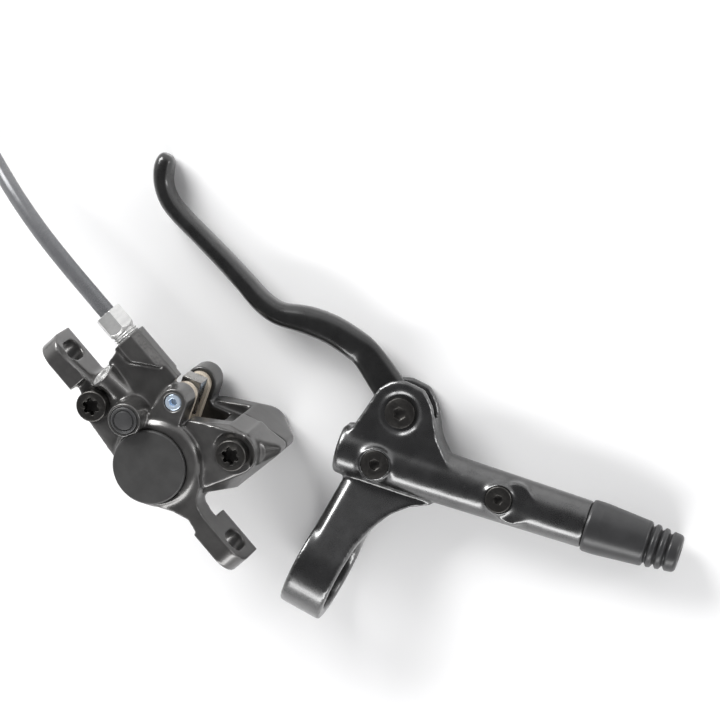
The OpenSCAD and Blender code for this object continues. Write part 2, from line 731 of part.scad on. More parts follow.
module hose_tie() {
    half = coil_rows * hose_d / 2;
    color([0.12, 0.12, 0.12]) translate([coil_x - coil_mid_r, coil_y, 0])
        rotate([-90, 0, 0]) mirror([0, 1, 0]) translate([0, 0, -tie_w / 2])
        linear_extrude(tie_w) difference() {
            translate([-half - tie_t - 0.5, 0]) square([2 * half + 2 * tie_t + 1,
                2 * hose_d + 2 * tie_t]);
            translate([-half - 0.5, tie_t]) square([2 * half + 1, 2 * hose_d]);
        }
}

tail_x = hose_tail[len(hose_tail) - 1][0];
tail_y = hose_tail[0][1];
tail_z = hose_tail[len(hose_tail) - 1][2];

module hose_end_nut() {
    color([0.75, 0.76, 0.77]) translate([tail_x - 9, tail_y, tail_z]) rotate([0, 90, 0])
        difference() {
            union() {
                rotate([0, 0, 30]) cylinder(h = 4, r = nut_flats / 2 / cos(30), $fn = 6);
                cylinder(h = 8, r = port_r - fit);
            }
            translate([0, 0, -cut]) cylinder(h = 9, r = hose_r + fit);
        }
}

module hose_end_stopper() {
    color([0.9, 0.9, 0.86]) translate([tail_x, tail_y, tail_z]) rotate([0, 90, 0])
        cylinder(h = 4, r = hose_r);
}

// Outline of the clevis plates round the pivot
module clevis_plan() {
    polygon([[-11, 41], [-10.2, 46], [-8.9, 57], [-6.6, 60.6], [-2.6, 62.6], [3.6, 62.8],
             [8, 59.4], [13.6, 51.6], [20, 46.6], [34, 47], [34, 40], [-4, 34]]);
}

// Side of the clamp's arm, seen along the bar: a tangent from the ring down to the cylinder
module arm_side() {
    polygon([[0, 0], [ring_r * sin(arm_lean), ring_r * cos(arm_lean)],
             [arm_reach + arm_end_r * sin(arm_lean), arm_end_r * cos(arm_lean)],
             [arm_reach + 5, 0], [arm_reach + 5, -3], [0, -3]]);
}

// Clamp ring with the arm that joins it to the cylinder, and the lug of its bolt
module clamp_form() {
    half = clamp_w / 2;
    translate([-half, 0, 0]) rotate([0, 90, 0]) cylinder(h = clamp_w, r = ring_r);
    difference() {
        intersection() {
            translate([-far / 2, 0, 0]) rotate([90, 0, 90]) linear_extrude(far) arm_side();
            translate([0, 0, -far / 2]) linear_extrude(far)
                polygon([[-half, 0], [half, 0], [half + 0.2, 12], [half + 1.8, 18.6],
                         [half + 4.6, 24.6], [half + 8.6, 29], [half + 14, 32.4],
                         [half + 8, 38], [-half - 1, 36], [-half, 28]]);
        }
        // Long bevel down the arm's outer side
        translate([-half + 2.6, ring_r * sin(arm_lean), ring_r * cos(arm_lean)])
            rotate([-arm_lean, 0, 0]) rotate([0, -38, 0])
            translate([-far / 2, 0.5, 0]) cube([far / 2, arm_reach - 3, far / 2]);
    }
    translate([-half, 0, lug_z]) cube([clamp_w, clamp_bolt_y + 5.4, split_z - lug_z]);
}

module body_form() {
    edge = 1;
    // Tapered cylinder with a softly rounded pivot end
    at_cylinder() along_x(0) rotate_extrude() polygon([[0, 0], [body_r1 - edge, 0],
        [body_r1 - edge * 0.3, edge * 0.3], [body_r1, edge], [body_r2, body_len], [0, body_len]]);
    at_cylinder() along_x(body_len - cut) cylinder(h = 6, r = body_r2 - 1.4);
    at_bar() translate([0, 0, -clevis_out]) linear_extrude(2 * clevis_out) clevis_plan();
    at_bar() clamp_form();
    // Bleed boss with the flat disc beside it
    at_cylinder() translate([bleed_s, bleed_off, 0]) cylinder(h = body_r2 + 0.9, r = 4.6);
    at_cylinder() translate([lens_s, bleed_off, 0]) cylinder(h = body_r2 - 0.3, r = lens_r);
    at_bar() translate([reach_at[0], reach_at[1], 0])
        cylinder(h = body_r1 + 0.6, r = reach_boss_r);
}

module master_cylinder_body() {
    color([0.25, 0.25, 0.26]) difference() {
        body_form();
        at_bar() {
            // Handlebar bore, and the split that lets the clamp close
            translate([-far, 0, 0]) rotate([0, 90, 0]) cylinder(h = 2 * far, r = bar_r);
            translate([-far, 4, split_z]) cube([2 * far, 24, 1]);
            translate([0, clamp_bolt_y, -far]) cylinder(h = far + 4, r = clamp_bolt_r + fit);
            translate([0, clamp_bolt_y, -far]) cylinder(h = far + lug_z + 3, r = clamp_head_r + gap);
        }
        at_cylinder() {
            along_x(master_s0) cylinder(h = chamber_s - master_s0, r = master_r + fit);
            along_x(chamber_s - cut) cylinder(h = 4, r = 1.4);
            along_x(port_s) cylinder(h = far, r = port_r);
            // Slot for the blade's tail, up through the clevis
            translate([pivot_s - 7.5, -3, -clevis_in]) cube([17.5, 40, 2 * clevis_in]);
            translate([-far, 6.6, -clevis_in]) cube([far + 10.5, 40, 2 * clevis_in]);
            translate([bleed_s, bleed_off, 0]) cylinder(h = far, r = 2.5);
            translate([bleed_s, bleed_off, body_r2 - 0.5]) cylinder(h = far, r = 4);
        }
        at_bar() translate([reach_at[0], reach_at[1], clevis_in - cut]) cylinder(h = far, r = 2.5);
        at_bar() translate([reach_at[0], reach_at[1], body_r1 - 1.6]) cylinder(h = far, r = 4.2);
        pivot_place() translate([0, 0, -far]) cylinder(h = 2 * far, r = pivot_r + fit);
        for (s = [-1, 1]) pivot_place() translate([0, 0, s > 0 ? clevis_out - 1 : -far])
            cylinder(h = far - clevis_out + 1, r = 4.6);
        // Dish round the head of the pivot pin
        pivot_place() translate([0, 0, clevis_out - pivot_dish_t]) cylinder(h = far, r = pivot_dish_r);
    }
}

module clamp_bolt() {
    color([0.17, 0.17, 0.17]) at_bar() translate([0, clamp_bolt_y, lug_z + 0.2]) difference() {
        union() {
            cylinder(h = 2.8, r = clamp_head_r);
            cylinder(h = 14, r = clamp_bolt_r);
        }
        translate([0, 0, -cut]) cylinder(h = 2, r = 2, $fn = 6);
    }
}

// Blade: stations along its length, from the ball at its tip to the knuckle.
// Each is [x, y, half thickness in the plane, half width across it].
blade = [[-98, 88.6, 1, 1.4], [-97.9, 86.6, 2.6, 3.6], [-97.4, 83.6, 3, 4.2],
    [-95.4, 79.4, 2.8, 4.4], [-91.6, 75.8, 2.8, 4.6], [-86.4, 73.4, 2.8, 4.8],
    [-78, 70.8, 2.8, 5], [-68, 67.6, 2.9, 5], [-60, 64.8, 3, 5], [-53, 62.2, 3.2, 5],
    [-46.4, 61.4, 3.5, 5], [-38, 63.6, 4.2, 5], [-30, 64.6, 4.4, 4.8],
    [-22, 64, 4.5, 4.2], [-17, 62.8, 4.6, 3.4], [-9, 58.6, 5, 3.4], [-2, 54.6, 5, 3.4]];

function blade_dir(i) = let(n = len(blade) - 1, a = blade[max(i - 1, 0)],
    b = blade[min(i + 1, n)], d = [b[0] - a[0], b[1] - a[1]]) d / norm(d);
function blade_ring(i, sides) = let(b = blade[i], d = blade_dir(i), zk = min(b[3],
    i > 13 ? knuckle_t / 2 : b[3])) [for (k = [0 : sides - 1]) let(a = k * 360 / sides,
    c = cos(a), s = sin(a), e = 1 / pow(pow(abs(c), 2.6) + pow(abs(s), 2.6), 1 / 2.6))
    [b[0] + d[1] * b[2] * c * e, b[1] - d[0] * b[2] * c * e, zk * s * e]];

module blade_sweep() {
    sides = 16;
    n = len(blade);
    points = [for (i = [0 : n - 1]) each blade_ring(i, sides)];
    walls = [for (i = [0 : n - 2], k = [0 : sides - 1]) let(a = i * sides, b = a + sides,
        m = (k + 1) % sides) each [[a + k, a + m, b + m], [a + k, b + m, b + k]]];
    first = [for (k = [sides - 1 : -1 : 0]) k];
    last = [for (k = [0 : sides - 1]) (n - 1) * sides + k];
    polyhedron(points = points, faces = concat([first], walls, [last]));
}

module lever_blade() {
    color([0.2, 0.2, 0.2]) difference() {
        union() {
            at_bar() blade_sweep();
            pivot_place() translate([0, 0, -knuckle_t / 2]) cylinder(h = knuckle_t, r = 7);
            // Tail that pushes the master piston
            pivot_place() rotate([0, 0, body_angle]) translate([0, 0, -2.6])
                linear_extrude(5.2) union() {
                    polygon([[-4, 0], [4, 0], [2.6, -pivot_reach], [-2, -pivot_reach]]);
                    translate([0.3, -pivot_reach]) circle(r = 2.4);
                }
        }
        pivot_place() translate([0, 0, -far]) cylinder(h = 2 * far, r = pivot_r + 1 + fit);
    }
}

module pivot_pin() {
    color([0.12, 0.12, 0.13]) pivot_place() difference() {
        union() {
            translate([0, 0, -clevis_out + 1]) cylinder(h = 2 * clevis_out - 2, r = pivot_r);
            for (z = [-clevis_out - 0.2, clevis_out - 1]) translate([0, 0, z])
                cylinder(h = 1.2, r = 4.5);
        }
        translate([0, 0, clevis_out - 1]) cylinder(h = 2, r = 2, $fn = 6);
    }
}

module pivot_bushes() {
    color([0.3, 0.3, 0.3]) for (s = [-1, 1]) pivot_place()
        translate([0, 0, s > 0 ? 0.1 : -knuckle_t / 2 + 0.1 - 0.1])
            ring(pivot_r + 1, pivot_r + fit, knuckle_t / 2 - 0.1);
}

// Small hex socket screw on the front of the body
module reach_screw() {
    color([0.15, 0.15, 0.15]) at_bar()
        translate([reach_at[0], reach_at[1], clevis_in + 0.2]) difference() {
        union() {
            cylinder(h = body_r1 - 1.5 - clevis_in, r = 2.5 - fit);
            translate([0, 0, body_r1 - 1.6 - clevis_in - 0.2]) cylinder(h = 1.8, r = 4.2 - fit);
        }
        translate([0, 0, 3.6]) cylinder(h = 9, r = 1.7, $fn = 6);
    }
}

module bleed_screw() {
    color([0.16, 0.16, 0.17]) at_cylinder() translate([bleed_s, bleed_off, 0]) difference() {
        union() {
            translate([0, 0, master_r + 0.4]) cylinder(h = 2, r = 2.5 - fit);
            translate([0, 0, body_r2 - 0.5]) round_post(4 - fit, 0, 1.6, 0.4);
        }
        translate([0, 0, body_r2 - 0.2]) cylinder(h = 3, r = 1.5, $fn = 6);
    }
}

module master_piston() {
    color([0.7, 0.7, 0.66]) at_cylinder() along_x(piston_s) difference() {
        union() {
            cylinder(h = 3, r = master_r - fit);
            cylinder(h = master_len, r = master_r - 1.6);
            translate([0, 0, 6]) cylinder(h = 5, r = master_r - fit);
            translate([0, 0, master_len - 2]) cylinder(h = 1.5, r = master_r - fit);
        }
        translate([0, 0, -cut]) cylinder(h = 1, r = 1);
    }
}

module piston_cups() {
    color([0.1, 0.1, 0.1]) at_cylinder() for (s = [3.2, 11.2])
        along_x(piston_s + s) ring(master_r - fit, master_r - 1.6, 2.6);
}

// Coil spring between the master piston and the outlet tube
module return_spring() {
    turns = 5;
    wire = 0.45;
    length = tube_s - spring_s - 2 * gap;
    steps = 12;
    mean = 3;
    route = [for (i = [0 : turns * steps]) let(a = i * 360 / steps)
        [gap + wire + (length - 2 * wire) * i / (turns * steps), mean * cos(a), mean * sin(a)]];
    color([0.75, 0.76, 0.78]) at_cylinder() translate([spring_s, 0, 0]) coil_wire(route, wire);
}

function wire_side(d) = let(s = cross(d, [1, 0, 0])) s / norm(s);
function wire_ring(p, i, r) = let(d = heading(p, i), s = wire_side(d), u = cross(s, d))
    [for (k = [0 : 5]) p[i] + r * (cos(k * 60) * s + sin(k * 60) * u)];

module coil_wire(route, r) {
    n = len(route);
    points = [for (i = [0 : n - 1]) each wire_ring(route, i, r)];
    walls = [for (i = [0 : n - 2], k = [0 : 5]) let(a = i * 6, b = a + 6, m = (k + 1) % 6)
        each [[a + k, a + m, b + m], [a + k, b + m, b + k]]];
    polyhedron(points = points, faces = concat([[for (k = [5 : -1 : 0]) k]], walls,
        [[for (k = [0 : 5]) (n - 1) * 6 + k]]));
}

// Tube that carries the fluid past the reservoir to the hose
module outlet_tube() {
    color([0.7, 0.7, 0.7]) at_cylinder() along_x(tube_s) difference() {
        union() {
            cylinder(h = 2.4, r = master_r - fit);
            cylinder(h = chamber_s - tube_s, r = 2.2);
        }
        translate([0, 0, -cut]) cylinder(h = far, r = 1.2);
    }
}

module reservoir_bladder() {
    color([0.1, 0.1, 0.1]) at_cylinder() along_x(bladder_s) difference() {
        cylinder(h = chamber_s - bladder_s - gap, r = master_r - 0.3);
        translate([0, 0, 1]) cylinder(h = chamber_s - bladder_s - gap - 2, r = master_r - 1.1);
        translate([0, 0, -cut]) cylinder(h = far, r = 2.2 + fit);
    }
}

// Rubber boot over the hose end of the body, with three ribs
module hose_boot() {
    rib = 2.7;
    color([0.11, 0.11, 0.11]) at_cylinder() along_x(body_len) difference() {
        rotate_extrude() polygon(concat([[0, 0], [boot_r - 0.4, 0], [boot_r, 0.8], [boot_r, 4],
            [boot_end_r + 0.8, boot_len - 4 * rib]],
            [for (i = [0 : 2]) each [[boot_end_r - 0.9, boot_len - 3 * rib - 1 + i * rib - 0.6],
                [boot_end_r - 0.9, boot_len - 3 * rib - 1 + i * rib],
                [boot_end_r + 0.3 - i * 0.15, boot_len - 3 * rib - 0.6 + i * rib],
                [boot_end_r + 0.3 - i * 0.15, boot_len - 3 * rib + 0.7 + i * rib]]],
            [[boot_end_r - 1.2, boot_len], [0, boot_len]]));
        translate([0, 0, -cut]) cylinder(h = 6 + gap + cut, r = body_r2 - 1.4 + fit);
        translate([0, 0, -cut]) cylinder(h = far, r = hose_r + 0.1);
    }
}

outboard_housing();
inboard_housing();
bore_cap();
bleed_cap();
bleed_nipple();
body_bolts();
passage_plug();
passage_seal();
hose_nut();
hose_olive();
outboard_piston();
inboard_piston();
piston_seals();
outboard_pad_plate();
outboard_pad_lining();
inboard_pad_plate();
inboard_pad_lining();
pad_spring();
pad_pin();
pad_pin_clip();
brake_hose();
hose_coil();
hose_tie();
hose_end_nut();
hose_end_stopper();
master_cylinder_body();
clamp_bolt();
lever_blade();
pivot_pin();
pivot_bushes();
reach_screw();
bleed_screw();
master_piston();
piston_cups();
return_spring();
outlet_tube();
reservoir_bladder();
hose_boot();
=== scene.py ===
"""Looks of the hydraulic disc brake: materials, cast surfaces, threads, hose, lights, camera.

Places and sizes of the part are written in millimetres in the row frame: +X along the
caliper's ears, +Y along the post bolts, +Z square to the rotor, with the bench at Z = 0.
The meshes, the lamps and the camera are made in metres.
"""

import json
import math

import bmesh
import bpy
import numpy as np
from mathutils import Matrix, Vector

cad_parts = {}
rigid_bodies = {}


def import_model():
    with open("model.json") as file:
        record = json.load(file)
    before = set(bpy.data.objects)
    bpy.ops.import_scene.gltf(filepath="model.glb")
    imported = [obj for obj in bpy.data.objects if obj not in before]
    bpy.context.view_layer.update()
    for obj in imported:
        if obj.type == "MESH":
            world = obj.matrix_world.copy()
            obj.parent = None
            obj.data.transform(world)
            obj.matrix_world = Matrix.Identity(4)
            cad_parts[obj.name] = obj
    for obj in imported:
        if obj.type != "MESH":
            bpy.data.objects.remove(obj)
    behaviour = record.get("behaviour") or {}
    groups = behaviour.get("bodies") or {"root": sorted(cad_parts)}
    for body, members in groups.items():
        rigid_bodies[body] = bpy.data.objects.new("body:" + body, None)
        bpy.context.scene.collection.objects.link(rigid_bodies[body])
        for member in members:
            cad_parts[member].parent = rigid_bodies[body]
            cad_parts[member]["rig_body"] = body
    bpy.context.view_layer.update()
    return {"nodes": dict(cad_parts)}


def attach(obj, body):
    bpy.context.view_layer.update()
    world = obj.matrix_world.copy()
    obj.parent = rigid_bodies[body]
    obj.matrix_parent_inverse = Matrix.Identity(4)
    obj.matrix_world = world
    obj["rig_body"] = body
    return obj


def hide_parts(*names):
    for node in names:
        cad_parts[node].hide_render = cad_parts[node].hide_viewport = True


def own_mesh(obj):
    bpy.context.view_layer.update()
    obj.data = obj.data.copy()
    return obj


# Metres in a millimetre
MM = 0.001

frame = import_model()
scene = bpy.context.scene


# Places in the part

PORT_Y = 26.8
NUT_END = (-38.4, PORT_Y, 30.0)
HOSE_R = 2.5

# The bar that the lever clamps, and the cylinder in the bar's frame
BAR = (60.3, 20.7, 15.03)
BAR_TURN = 22.3
BAR_ROLL = 0.2
BAR_TILT = 7.72
BODY_AT = (-12.1, 35.0)
BODY_ANGLE = 10.9


def turn(degrees, axis):
    return Matrix.Rotation(math.radians(degrees), 4, axis)


def move(x, y, z=0.0):
    return Matrix.Translation((x, y, z))


AT_BAR = move(*BAR) @ turn(BAR_TURN, "Z") @ turn(BAR_ROLL, "Y") @ turn(-BAR_TILT, "X")
AT_CYLINDER = AT_BAR @ move(*BODY_AT) @ turn(BODY_ANGLE, "Z")


def new_object(name, data):
    """An object linked into the scene, at the origin."""
    obj = bpy.data.objects.new(name, data)
    scene.collection.objects.link(obj)
    return obj


# Camera

VIEW_TILT = math.radians(20)
PICTURE_PX = 720
PX_PER_MM = 3.3
LENS = 150.0
SENSOR = 36.0
# Shares of +X and of the level line in the picture's right
RIGHT_X = 0.648
RIGHT_LEVEL = 0.762
# Middle of the view along the picture's right, up and away
VIEW_MIDDLE = (61.0, 25.0, 14.0)
NEAREST = 0.05
FARTHEST = 10.0


def make_camera():
    """Long lens, tilted 20 degrees from square to the rotor, turned as in the photograph."""
    c, s = math.cos(VIEW_TILT), math.sin(VIEW_TILT)
    away = Vector((0, s, c))
    level = Vector((0, c, -s))
    right = RIGHT_X * Vector((1, 0, 0)) + RIGHT_LEVEL * level
    right.normalize()
    up = away.cross(right)
    centre = VIEW_MIDDLE[0] * right + VIEW_MIDDLE[1] * up + VIEW_MIDDLE[2] * away
    distance = (PICTURE_PX / PX_PER_MM / 2) / (SENSOR / 2 / LENS)
    data = bpy.data.cameras.new("camera")
    data.lens = LENS
    data.sensor_width = SENSOR
    data.clip_start = NEAREST
    data.clip_end = FARTHEST
    camera = new_object("camera", data)
    facing = Matrix((right, up, away)).transposed().to_4x4()
    camera.matrix_world = Matrix.Translation((centre + away * distance) * MM) @ facing
    scene.camera = camera
    return right, up, away, centre * MM


RIGHT, UP, AWAY, CENTRE = make_camera()


# Shader maths

# Places of the two colours and of the blend among a Mix node's sockets
MIX_FIRST = 6
MIX_SECOND = 7
MIX_RESULT = 2


class Sum:
    """A number in a node tree. Its operators add Math nodes."""

    def __init__(self, owner, socket):
        self.owner = owner
        self.socket = socket

    def math(self, operation, *others):
        sockets = dict(enumerate((self, *others)))
        node = self.owner.node("ShaderNodeMath", {"operation": operation}, sockets)
        return Sum(self.owner, node.outputs[0])

    def __add__(self, other):
        return self.math("ADD", other)

    def __sub__(self, other):
        return self.math("SUBTRACT", other)

    def __mul__(self, other):
        return self.math("MULTIPLY", other)

    __radd__ = __add__
    __rmul__ = __mul__

    def __rsub__(self, other):
        return (self * -1.0) + other

    def step(self, low, high):
        """0 below low, 1 above high, smooth between."""
        node = self.owner.node(
            "ShaderNodeMapRange",
            {"interpolation_type": "SMOOTHSTEP"},
            {"Value": self, "From Min": low, "From Max": high},
        )
        return Sum(self.owner, node.outputs["Result"])


class Tree:
    """A node tree with short ways to add nodes and to set or link their inputs."""

    def __init__(self, tree):
        self.tree = tree

    def node(self, kind, settings, sockets):
        """Adds a node: its settings first, then the value or link of each socket, which is
        given by its name or its place."""
        node = self.tree.nodes.new(kind)
        for key, value in settings.items():
            setattr(node, key, value)
        for key, value in sockets.items():
            self.put(node.inputs[key], value)
        return node

    def put(self, socket, value):
        """Links the socket to a number or another socket, or sets its value."""
        if isinstance(value, Sum):
            self.tree.links.new(value.socket, socket)
        elif isinstance(value, bpy.types.NodeSocket):
            self.tree.links.new(value, socket)
        elif socket.type == "RGBA":
            socket.default_value = (*value[:3], 1.0)
        else:
            socket.default_value = value

    def blend(self, factor, first, second):
        """The first colour where factor is 0, the second where it is 1."""
        sockets = {"Factor": factor, MIX_FIRST: first, MIX_SECOND: second}
        node = self.node("ShaderNodeMix", {"data_type": "RGBA"}, sockets)
        return node.outputs[MIX_RESULT]


class Look(Tree):
    """A procedural material on one Principled shader, in object coordinates."""

    def __init__(self, name, **fixed):
        self.material = bpy.data.materials.new(name)
        self.material.use_nodes = True
        super().__init__(self.material.node_tree)
        self.shader = self.tree.nodes["Principled BSDF"]
        self.place = self.node("ShaderNodeTexCoord", {}, {}).outputs["Object"]
        for key, value in fixed.items():
            self.put(self.shader.inputs[key.replace("_", " ")], value)

    def noise(self, per_mm, detail=3.0, roughness=0.55, stretch=(1, 1, 1)):
        """Noise from 0 to 1 with per_mm lumps for each millimetre."""
        scale = tuple(per_mm / MM * s for s in stretch)
        spread = self.node("ShaderNodeMapping", {}, {"Scale": scale, "Vector": self.place})
        node = self.node(
            "ShaderNodeTexNoise",
            {},
            {
                "Scale": 1.0,
                "Detail": detail,
                "Roughness": roughness,
                "Vector": spread.outputs[0],
            },
        )
        return Sum(self, node.outputs["Fac"])

    def specks(self, per_mm):
        """Distance from the nearest speck, 0 at its middle."""
        sockets = {"Scale": per_mm / MM, "Vector": self.place}
        return Sum(self, self.node("ShaderNodeTexVoronoi", {}, sockets).outputs["Distance"])

    def edges(self):
        """How convex the surface is, from 0 to 1, 0.5 where it is flat."""
        return Sum(self, self.node("ShaderNodeNewGeometry", {}, {}).outputs["Pointiness"])

    def bump(self, height, depth_mm):
        sockets = {"Strength": 1.0, "Distance": depth_mm * MM, "Height": height}
        node = self.node("ShaderNodeBump", {}, sockets)
        self.put(self.shader.inputs["Normal"], node.outputs["Normal"])

    def base(self, value):
        self.put(self.shader.inputs["Base Color"], value)

    def rough(self, value):
        self.put(self.shader.inputs["Roughness"], value)


# Materials

COAT_ROUGHNESS = 0.12
# Share of the painted highlight on convex edges, and how much paler it is
EDGE_HIGHLIGHT_SHARE = 0.3
EDGE_HIGHLIGHT_PALER = 2.0
# The darker colour of turned metal as a share of the paler one
TURNED_DARKER = 0.86
TURNED_DEPTH = 0.0015


def grey(value, warm=0.0):
    return (value * (1 + warm), value, value * (1 - warm))


def cast_look(name, dark, light, rough, metallic, grain, coat, warm):
    """Painted casting: soft mottling, fine pimples, and a painted highlight that makes convex
    edges paler in patches.
    """
    look = Look(name, Metallic=metallic, Coat_Weight=coat, Coat_Roughness=COAT_ROUGHNESS)
    mottle = look.noise(per_mm=0.22, detail=4)
    fine = look.noise(per_mm=4.5, detail=2)
    highlight_patches = look.noise(per_mm=1.2, detail=3)
    # Convex edges, broken into patches by noise, are painted paler: a painted edge highlight
    painted_edge_highlight = look.edges().step(0.54, 0.66) * highlight_patches.step(0.30, 0.65)
    body = look.blend(mottle.step(0.25, 0.75), grey(dark, warm), grey(light, warm))
    look.base(look.blend(painted_edge_highlight * EDGE_HIGHLIGHT_SHARE, body, grey(light * EDGE_HIGHLIGHT_PALER, warm)))
    look.rough(fine * 0.10 + (rough - 0.05) + (mottle - 0.5) * 0.08)
    look.bump(fine + look.noise(per_mm=1.6, detail=2) * 0.6, grain)
    return look.material


def plain_look(name, colour, rough, metallic=0.0, per_mm=3.0, depth=0.003, vary=0.12, **fixed):
    """One colour with a little variation, fine texture and uneven gloss."""
    look = Look(name, Metallic=metallic, **fixed)
    noise = look.noise(per_mm, detail=3)
    slow = look.noise(per_mm * 0.08, detail=3)
    low = tuple(c * (1 - vary) for c in colour)
    high = tuple(min(1.0, c * (1 + vary)) for c in colour)
    look.base(look.blend(slow.step(0.3, 0.7), low, high))
    look.rough(noise * 0.08 + (rough - 0.04))
    look.bump(noise, depth)
    return look.material


def turned_look(name, colour, rough, stretch, metallic=1.0):
    """Turned or drawn metal: fine lines along one direction."""
    look = Look(name, Metallic=metallic)
    lines = look.noise(per_mm=1.0, detail=3, roughness=0.6, stretch=stretch)
    slow = look.noise(per_mm=0.3, detail=2)
    low = tuple(c * TURNED_DARKER for c in colour)
    look.base(look.blend(lines.step(0.3, 0.7), low, colour))
    look.rough(lines * 0.12 + (rough - 0.06) + (slow - 0.5) * 0.06)
    look.bump(lines, TURNED_DEPTH)
    return look.material


def pad_look():
    """Tan coated backing plate, speckled like sand."""
    dark, light, stain = (0.46, 0.400, 0.320), (0.74, 0.655, 0.535), (0.20, 0.155, 0.115)
    look = Look("pad_plate_tan", Metallic=0.25)
    speck = look.noise(per_mm=5.0, detail=4, roughness=0.7)
    slow = look.noise(per_mm=0.4, detail=3)
    tan = look.blend(speck.step(0.35, 0.65), dark, light)
    look.base(look.blend(slow.step(0.55, 0.75) * 0.35, tan, stain))
    look.rough(speck * 0.2 + 0.38)
    look.bump(speck, depth_mm=0.012)
    return look.material


def lining_look():
    """Pressed friction compound: dark matrix with metal and fibre flecks."""
    dark, light, metal = (0.045, 0.036, 0.03), (0.11, 0.09, 0.075), (0.34, 0.24, 0.13)
    look = Look("friction_lining")
    flecks = look.specks(per_mm=1.7)
    grain = look.noise(per_mm=3.5, detail=4)
    base = look.blend(grain.step(0.3, 0.7), dark, light)
    look.base(look.blend(1.0 - flecks.step(0.08, 0.2), base, metal))
    look.rough(grain * 0.2 + 0.65)
    look.bump(grain - flecks * 0.5, depth_mm=0.05)
    return look.material


LOOKS = {
    "cast": cast_look(
        "cast_alloy",
        dark=0.094, light=0.124, rough=0.32, metallic=0.72, grain=0.003, coat=0.5, warm=0.022,
    ),
    # Darker copy of the casting look for the inboard half, which lies lower and further from the
    # camera: painted shade on the same alloy as the outboard half
    "cast_back_painted_shade": cast_look(
        "cast_alloy_back_painted_shade",
        dark=0.078, light=0.102, rough=0.34, metallic=0.80, grain=0.003, coat=0.35, warm=0.018,
    ),
    "cap": cast_look(
        "bore_cap_black",
        dark=0.046, light=0.056, rough=0.45, metallic=0.25, grain=0.005, coat=0.0, warm=0.01,
    ),
    "oxide": turned_look(
        "black_oxide_steel", (0.085, 0.082, 0.078), rough=0.38, stretch=(1.5, 1.5, 6)
    ),
    "rubber_cap": plain_look(
        "bleed_cap_rubber", (0.040, 0.040, 0.041), rough=0.42, per_mm=4, depth=0.006
    ),
    "body": cast_look(
        "lever_body",
        dark=0.118, light=0.145, rough=0.28, metallic=0.96, grain=0.001, coat=0.3, warm=0.0,
    ),
    "blade": cast_look(
        "lever_blade",
        dark=0.040, light=0.052, rough=0.29, metallic=0.8, grain=0.002, coat=0.5, warm=0.0,
    ),
    "boot": plain_look(
        "boot_rubber", (0.034, 0.034, 0.035), rough=0.34, per_mm=2.5, depth=0.004
    ),
    "nut": turned_look(
        "nut_aluminium", (0.70, 0.70, 0.69), rough=0.34, stretch=(0.6, 0.25, 0.25), metallic=0.7
    ),
    "steel": turned_look("bright_steel", (0.72, 0.73, 0.74), rough=0.24, stretch=(1, 1, 5)),
    "chrome": plain_look(
        "chromed_pin", (0.66, 0.77, 0.90),
        rough=0.16, metallic=0.6, per_mm=2, depth=0.0005, vary=0.05,
    ),
    "spring": turned_look(
        "spring_steel", (0.50, 0.49, 0.47), rough=0.28, stretch=(0.5, 1.5, 0.5)
    ),
    "brass": turned_look("brass", (0.78, 0.55, 0.25), rough=0.3, stretch=(2, 2, 2)),
    "piston": plain_look(
        "piston_ceramic", (0.74, 0.70, 0.62), rough=0.4, per_mm=5, depth=0.003, vary=0.05
    ),
    "seal": plain_look("seal_rubber", (0.02, 0.02, 0.02), rough=0.45),
    "hose": plain_look(
        "hose_nylon", (0.150, 0.152, 0.158),
        rough=0.27, metallic=0.30, per_mm=6, depth=0.001, vary=0.05, Specular_IOR_Level=0.4,
    ),
    "tie": plain_look("tie_black", (0.025, 0.025, 0.027), rough=0.42),
    "stopper": plain_look("stopper_plastic", (0.78, 0.77, 0.70), rough=0.4),
    "pad": pad_look(),
    "lining": lining_look(),
}

NODE_LOOKS = {
    "outboard_housing": "cast",
    "inboard_housing": "cast_back_painted_shade",
    "bore_cap": "cap",
    "bleed_cap": "rubber_cap",
    "bleed_nipple": "steel",
    "body_bolts": "oxide",
    "passage_plug": "steel",
    "passage_seal": "seal",
    "hose_nut": "nut",
    "hose_olive": "brass",
    "outboard_piston": "piston",
    "inboard_piston": "piston",
    "piston_seals": "seal",
    "outboard_pad_plate": "pad",
    "outboard_pad_lining": "lining",
    "inboard_pad_plate": "pad",
    "inboard_pad_lining": "lining",
    "pad_spring": "spring",
    "pad_pin": "chrome",
    "pad_pin_clip": "spring",
    "brake_hose": "hose",
    "hose_coil": "hose",
    "hose_tie": "tie",
    "hose_end_nut": "nut",
    "hose_end_stopper": "stopper",
    "master_cylinder_body": "body",
    "clamp_bolt": "oxide",
    "lever_blade": "blade",
    "pivot_pin": "oxide",
    "pivot_bushes": "stopper",
    "reach_screw": "oxide",
    "bleed_screw": "oxide",
    "master_piston": "steel",
    "piston_cups": "seal",
    "return_spring": "steel",
    "outlet_tube": "steel",
    "reservoir_bladder": "seal",
    "hose_boot": "boot",
}


def dress(obj, look):
    """Gives an object one look for all its faces."""
    obj.data.materials.clear()
    obj.data.materials.append(LOOKS[look])


for node_name, look_name in NODE_LOOKS.items():
    dress(frame["nodes"][node_name], look_name)


# Mesh tools

# Points of a solid nearer than this, in metres, are one
MERGE = 2e-6
# Steps of softening between two looks at which way the surface faces
FACING_EVERY = 5
PULL_SHARE = 0.5
# Steps of softening on a casting's outer edges and in its hollows
CAST_OUTER = 4
CAST_HOLLOW = 24
# Angles in degrees: faces that count as one flat, edges to break, edges shown sharp
FLAT_ANGLE = 0.6
BREAK_ANGLE = 28
SHARP_ANGLE = 38
BREAK_STEPS = 2


def add_piece(name, mesh, look, *nodes):
    """A shown piece that rides where the first of its CAD nodes rides and stands for all."""
    obj = new_object(name, mesh)
    dress(obj, look)
    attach(obj, frame["nodes"][nodes[0]]["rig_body"])
    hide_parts(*nodes)
    return obj


